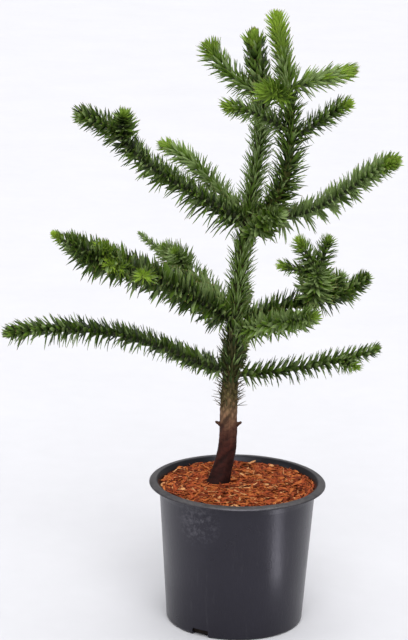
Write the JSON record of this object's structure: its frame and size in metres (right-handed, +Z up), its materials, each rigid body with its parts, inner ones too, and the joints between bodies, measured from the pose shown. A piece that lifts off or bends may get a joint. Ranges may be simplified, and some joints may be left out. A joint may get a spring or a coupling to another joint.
{
  "type": "monkey puzzle tree",
  "caption": "Young monkey puzzle tree in a round nursery pot: leaning trunk, whorled branches clothed in stiff pointed leaves, forked leader, bark chips over the soil.",
  "frame": {"origin": "centre of the pot's flat underside, where it stands", "axes": "+Z up along the plant, +X to the right in the front view, -Y towards the viewer"},
  "size_m": [0.6738, 0.4158, 1.0727],
  "materials": {
    "pot": "satin moulded plastic, dusty at the lip",
    "soil": "matt, crumbly",
    "mulch": "matt bark chips",
    "bark": "rough, ringed bark",
    "green_bark": "green young bark with leaf scars",
    "leaves": "waxy, stiff, dark green",
    "young_leaves": "waxy, bright yellow-green",
    "old_leaves": "dry, olive to tan"
  },
  "bodies": {
    "root": {"pot": "pot", "potting_soil": "soil", "bark_mulch": "mulch", "trunk": "bark", "second_leader": "green_bark", "bottom_left_branch": "leaves", "bottom_right_branch": "leaves", "bottom_back_branch": "leaves", "middle_left_branch": "leaves", "middle_back_left_branch": "leaves", "middle_back_branch": "leaves", "middle_right_branch": "leaves", "middle_front_right_branch": "leaves", "upper_left_branch": "leaves", "upper_back_left_branch": "leaves", "upper_back_branch": "leaves", "upper_right_branch": "leaves", "upper_front_branch": "leaves", "leader_left_branch": "leaves", "second_leader_right_branch": "leaves", "second_leader_left_branch": "leaves", "second_leader_top_right_branch": "young_leaves", "second_leader_front_branch": "young_leaves", "trunk_old_leaves": "old_leaves", "trunk_lower_leaves": "leaves", "trunk_middle_leaves": "leaves", "trunk_upper_leaves": "leaves", "trunk_tip_leaves": "young_leaves", "second_leader_lower_leaves": "leaves", "second_leader_middle_leaves": "leaves", "second_leader_tip_leaves": "young_leaves"}
  },
  "joints": []
}
